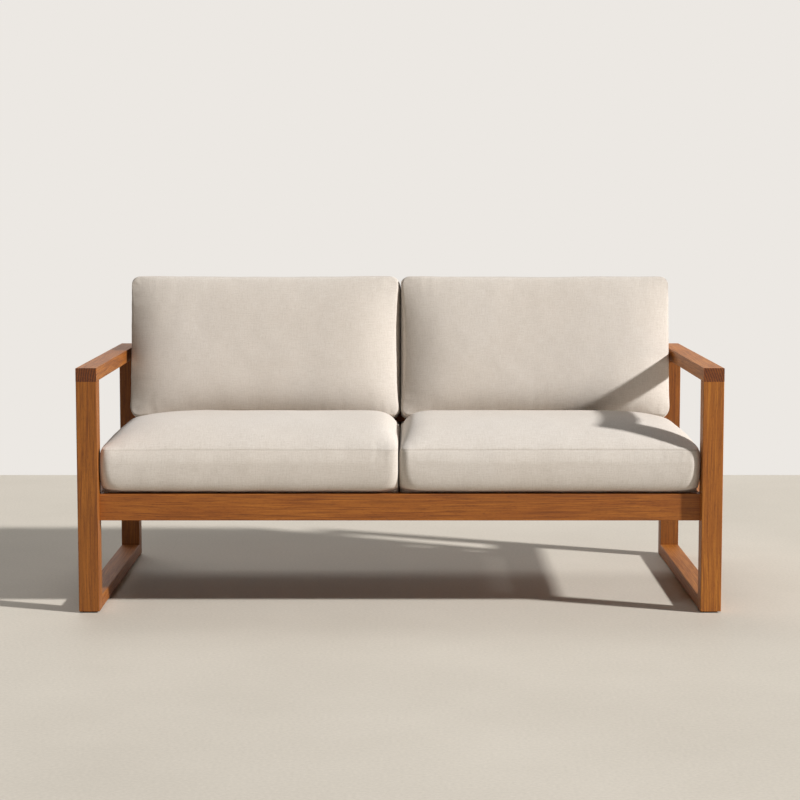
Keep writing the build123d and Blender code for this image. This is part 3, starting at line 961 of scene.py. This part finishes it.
def make_closed_zip(name, start, end, tape, coil, metal):
    """Two folded lips, the bed between them, the teeth and the end stops, as one piece."""
    parts = []
    for side in (-1, 1):
        across = sorted((side * (TOOTH_HALF + LIP_GAP), side * ZIP_TAPE_WIDTH / 2))
        parts.append((rounded_bar((start, end), LIP_HEIGHTS, across, LIP_EDGE), tape))
    bed = rounded_bar((start, end), BED_HEIGHTS, (-BED_HALF, BED_HALF), BED_EDGE)
    parts += [(bed, tape), (make_teeth(start, end), coil)]
    for stop in (start + STOP_INSET, end - STOP_INSET - STOP_LENGTH):
        run = (stop, stop + STOP_LENGTH)
        parts.append((rounded_bar(run, STOP_HEIGHTS, (-STOP_HALF, STOP_HALF), STOP_EDGE), metal))
    return join_as(name, parts)


def make_slider(name, start, metal):
    """The slider with its bridge and pull, as one piece at the zip's start."""
    parts = []
    for (first, last), heights, half, edge in SLIDER_PARTS:
        bar = rounded_bar((start + first, start + last), heights, (-half, half), edge)
        parts.append((bar, metal))
    return join_as(name, parts)


def make_zip(kind, word, place, tape, coil, metal):
    """One zip in its place: the closed zip rides on its cushion, and its slider by itself."""
    low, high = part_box(f"{kind}_zip_{word}")
    closed = make_closed_zip(f"{kind}_zip_{word}_tape", low.x, high.x, tape, coil, metal)
    slider = make_slider(f"{kind}_zip_{word}_pull", low.x, metal)
    for piece, node, slot, body in (
        (closed, f"{kind}_zip_{word}", "zip_nylon", f"{kind}_cushion_{word}"),
        (slider, f"{kind}_zip_slider_{word}", "zip_metal", f"{kind}_zip_slider_{word}"),
    ):
        piece.data.transform(place)
        select_only(piece)
        bpy.ops.object.shade_smooth_by_angle(angle=SMOOTH_ANGLE)
        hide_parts(node)
        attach(piece, body)


def make_zips():
    """The seat zips across the rear boxing, and the back zips high on the back panel."""
    finish = zip_tape(), coil_nylon(), turned_steel("satin_nickel", "#8A867E")
    back_place = leaning_plane() @ Matrix.Translation((0, -BACK_ZIP_INSET, BACK_ZIP_RISE))
    for word in SIDES:
        low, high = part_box("seat_zip_" + word)
        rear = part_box("seat_cover_" + word)[1].y
        make_zip("seat", word, Matrix.Translation((0, rear, (low.z + high.z) / 2)), *finish)
        make_zip("back", word, back_place, *finish)


# Studio

def make_floor():
    """A plain pale floor that ends where the photograph's wall begins."""
    bpy.ops.mesh.primitive_plane_add(size=FLOOR_SIZE, location=(0, 0, 0))
    floor = bpy.context.active_object
    floor.name = "floor"
    floor.data.transform(Matrix.Translation((0, FLOOR_END - FLOOR_SIZE / 2, 0)))
    floor.data.materials.append(pale_floor())


def make_world():
    """Even pale surroundings: one level that lights, and the wall's colour for what is seen."""
    world = bpy.data.worlds.new("studio")
    bpy.context.scene.world = world
    world.use_nodes = True
    tree = world.node_tree
    light = tree.nodes["Background"]
    feed(tree, light, {"Color": linear(ROOM_COLOUR), "Strength": ROOM_LIGHT})
    wall = add(tree, "Background", {"Color": linear(WALL_COLOUR), "Strength": 1})
    path = add(tree, "LightPath").outputs
    seen = path["Is Camera Ray"]
    for ray in ("Is Glossy Ray", "Is Transmission Ray"):
        seen = add(tree, "Math", {0: seen, 1: path[ray]}, operation="MAXIMUM").outputs[0]
    either = add(tree, "MixShader", {0: seen, 1: light.outputs[0], 2: wall.outputs[0]})
    feed(tree, tree.nodes["World Output"], {"Surface": either.outputs[0]})


def make_lights():
    """Soft white lamps, each aimed at the middle of the seat."""
    for name, (place, size, power) in LAMPS.items():
        data = bpy.data.lights.new(name, "AREA")
        data.shape = "RECTANGLE"
        data.size, data.size_y = size
        data.energy = power
        lamp = bpy.data.objects.new(name, data)
        bpy.context.scene.collection.objects.link(lamp)
        lamp.location = place
        lamp.rotation_euler = (LAMP_AIM - Vector(place)).to_track_quat("-Z", "Y").to_euler()


def make_camera():
    """The photograph's viewpoint."""
    data = bpy.data.cameras.new("camera")
    data.lens = FOCAL_LENGTH
    data.sensor_width = SENSOR_WIDTH
    data.clip_end = CAMERA_REACH
    camera = bpy.data.objects.new("camera", data)
    bpy.context.scene.collection.objects.link(camera)
    camera.location = (0, FRONT_PLANE - CAMERA_DISTANCE, CAMERA_HEIGHT)
    camera.rotation_euler = (math.pi / 2 - CAMERA_TILT, 0, 0)
    bpy.context.scene.camera = camera


bpy.context.scene.view_settings.view_transform = "Standard"
finish_boards()
finish_hardware()
make_cushions()
make_zips()
make_floor()
make_world()
make_lights()
make_camera()
